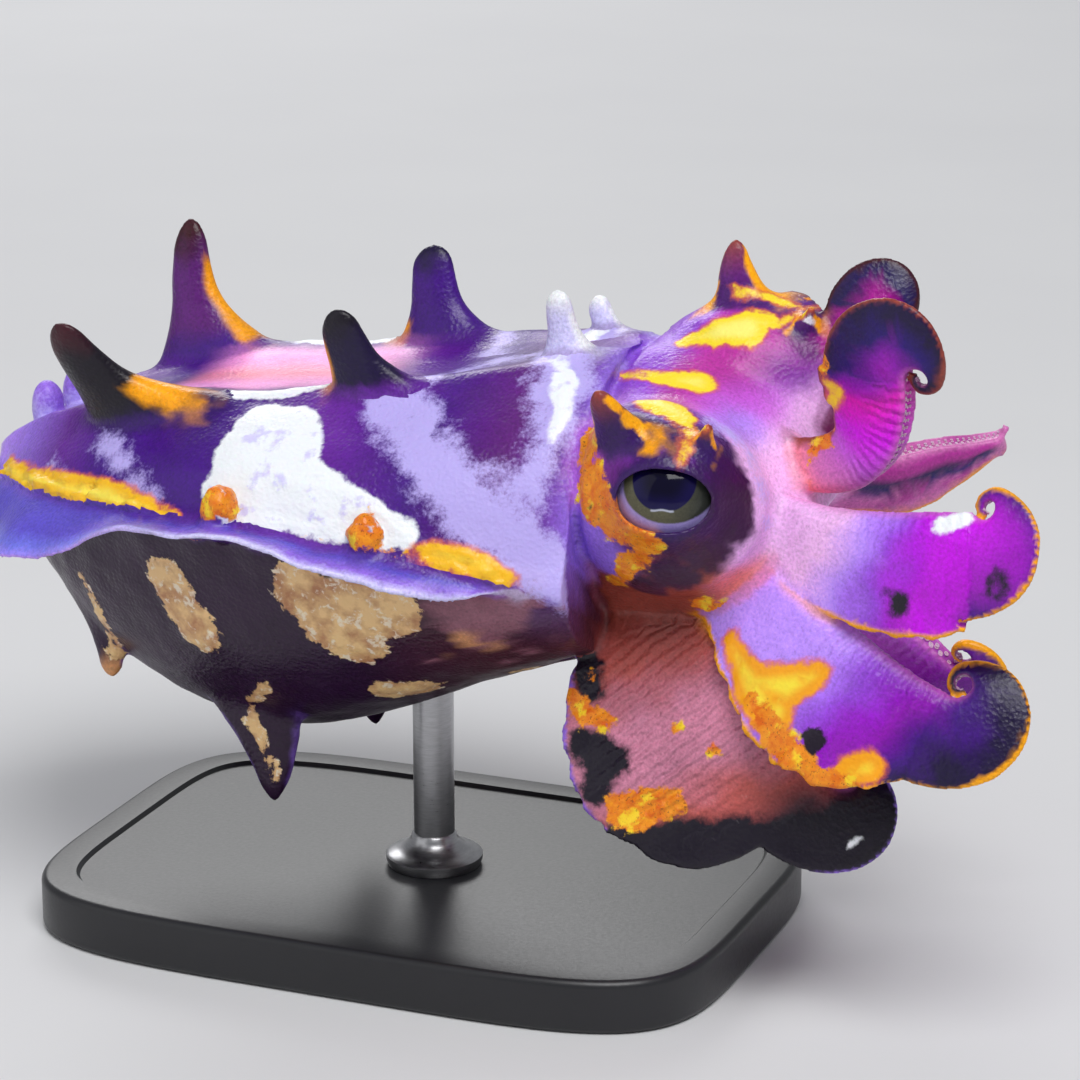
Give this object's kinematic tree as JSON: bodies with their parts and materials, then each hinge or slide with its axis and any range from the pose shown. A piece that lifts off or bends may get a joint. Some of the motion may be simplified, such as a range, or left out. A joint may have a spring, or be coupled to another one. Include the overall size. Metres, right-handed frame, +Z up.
{
  "type": "museum animal model",
  "caption": "Life-size still model of a flamboyant cuttlefish hovering on a display stand, with raised papillae, rippled fins and curled arms.",
  "frame": {"origin": "middle of the model's footprint box, on the underside of the stand", "axes": "+X toward the animal's head, +Y to the animal's left, +Z up"},
  "size_m": [0.1038, 0.0504, 0.0652],
  "materials": {
    "mantle_skin": "moist patterned skin, violet brown with white and gold patches",
    "head_skin": "moist patterned skin, magenta with yellow patches",
    "arm_skin": "moist skin, pink at the crown to violet at the tips",
    "papilla_skin": "moist dark violet skin",
    "white_skin": "moist pale skin",
    "fin_skin": "thin translucent blue violet membrane",
    "belly_skin": "moist dark brown skin",
    "mouth_skin": "smooth moist pink skin",
    "eye_gloss": "polished wet eye",
    "stand_black": "satin black acrylic",
    "stand_steel": "brushed steel rod"
  },
  "bodies": {
    "root": {"arm_left_1_base": "arm_skin", "arm_left_1_curl": "arm_skin", "arm_left_1_middle": "arm_skin", "arm_left_2_base": "arm_skin", "arm_left_2_curl": "arm_skin", "arm_left_2_middle": "arm_skin", "arm_left_3_base": "arm_skin", "arm_left_3_curl": "arm_skin", "arm_left_3_middle": "arm_skin", "arm_left_4_base": "arm_skin", "arm_left_4_curl": "arm_skin", "arm_left_4_middle": "arm_skin", "arm_right_1_base": "arm_skin", "arm_right_1_curl": "arm_skin", "arm_right_1_middle": "arm_skin", "arm_right_2_base": "arm_skin", "arm_right_2_curl": "arm_skin", "arm_right_2_middle": "arm_skin", "arm_right_3_base": "arm_skin", "arm_right_3_curl": "arm_skin", "arm_right_3_middle": "arm_skin", "arm_right_4_base": "arm_skin", "arm_right_4_curl": "arm_skin", "arm_right_4_middle": "arm_skin", "eye_left": "eye_gloss", "eye_right": "eye_gloss", "fin_left": "fin_skin", "fin_right": "fin_skin", "flap_front_left": "belly_skin", "flap_front_right": "belly_skin", "flap_rear_left": "belly_skin", "flap_rear_right": "belly_skin", "funnel": "mouth_skin", "head": "head_skin", "mantle": "mantle_skin", "mouth": "mouth_skin", "papilla_front_left": "white_skin", "papilla_front_right": "white_skin", "papilla_middle_left": "papilla_skin", "papilla_middle_right": "papilla_skin", "papilla_rear_left": "papilla_skin", "papilla_rear_right": "papilla_skin", "stand_base": "stand_black", "stand_rod": "stand_steel"}
  },
  "joints": []
}
